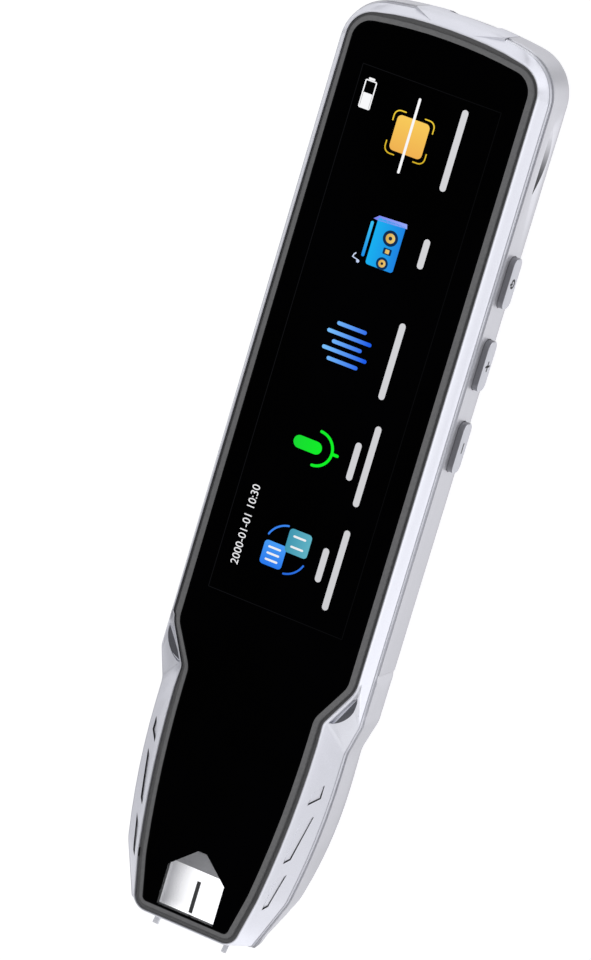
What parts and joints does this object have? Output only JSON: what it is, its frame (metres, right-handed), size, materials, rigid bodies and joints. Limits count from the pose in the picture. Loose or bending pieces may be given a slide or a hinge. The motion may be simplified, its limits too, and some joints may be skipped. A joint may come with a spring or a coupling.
{
  "type": "handheld translator",
  "caption": "Slim pen-shaped scanning translator with a long black touch screen, sight window, white feeler tip, side keys and a speaker grille in its curved silver back.",
  "frame": {"origin": "point of the flat back under the middle of the body's length, on the centre line", "axes": "+X across towards the side keys, +Y along the body towards its top end, +Z out of the display"},
  "size_m": [0.0371, 0.1527, 0.0135],
  "materials": {
    "black_glass": "polished, printed black behind",
    "clear_window": "polished clear",
    "black_tape": "matte",
    "bezel_grey": "fine matte",
    "silver_paint": "satin silver metallic",
    "cover_paint": "satin silver metallic lacquer",
    "key_paint": "satin silver metallic lacquer",
    "white_plastic": "smooth moulded",
    "black_plastic": "matte",
    "display_module": "display module",
    "black_foam": "foam",
    "polyimide_flex": "amber film",
    "circuit_board": "solder mask",
    "chip_black": "moulded black",
    "screw_steel": "plain",
    "battery_foil": "foil pouch",
    "speaker_black": "moulded",
    "tin_plate": "tinned",
    "lens_glass": "coated lens",
    "led_white": "phosphor",
    "diffuser": "frosted"
  },
  "bodies": {
    "housing": {"front_glass": "black_glass", "sight_window": "clear_window", "glass_tape": "black_tape", "bezel_trim": "bezel_grey", "front_frame": "silver_paint", "sight_well": "white_plastic", "aiming_mark": "black_plastic", "display_panel": "display_module", "display_bond": "clear_window", "display_cushion": "black_foam", "display_flex": "polyimide_flex", "mid_chassis": "silver_paint", "main_board": "circuit_board", "board_chips": "chip_black", "board_screws": "screw_steel", "battery": "battery_foil", "battery_tape": "black_tape", "speaker": "speaker_black", "speaker_gasket": "black_foam", "microphone": "tin_plate", "antenna": "polyimide_flex", "usb_socket": "tin_plate", "camera": "chip_black", "camera_lens": "lens_glass", "scan_leds": "led_white", "light_diffuser": "diffuser", "scan_hood": "white_plastic", "tip_switch": "chip_black", "tip_spring": "screw_steel", "side_key_board": "circuit_board", "side_key_switches": "tin_plate", "rear_cover": "cover_paint"},
    "power_key": {"power_key": "key_paint"},
    "volume_up_key": {"volume_up_key": "key_paint"},
    "volume_down_key": {"volume_down_key": "key_paint"},
    "scan_tip": {"scan_tip": "white_plastic"}
  },
  "joints": [
    {"name": "power_key_press", "type": "slide", "parent": "housing", "child": "power_key", "axis": [-1, 0, 0], "range_m": [0, 0.00035], "stiffness_N_per_m": 600, "springref_m": -0.0008},
    {"name": "volume_up_key_press", "type": "slide", "parent": "housing", "child": "volume_up_key", "axis": [-1, 0, 0], "range_m": [0, 0.00035], "stiffness_N_per_m": 600, "springref_m": -0.0008},
    {"name": "volume_down_key_press", "type": "slide", "parent": "housing", "child": "volume_down_key", "axis": [-1, 0, 0], "range_m": [0, 0.00035], "stiffness_N_per_m": 600, "springref_m": -0.0008},
    {"name": "scan_tip_press", "type": "slide", "parent": "housing", "child": "scan_tip", "axis": [0, 0.891, -0.454], "range_m": [0, 0.0008], "stiffness_N_per_m": 300, "springref_m": -0.001, "deforming": ["tip_spring"]}
  ]
}
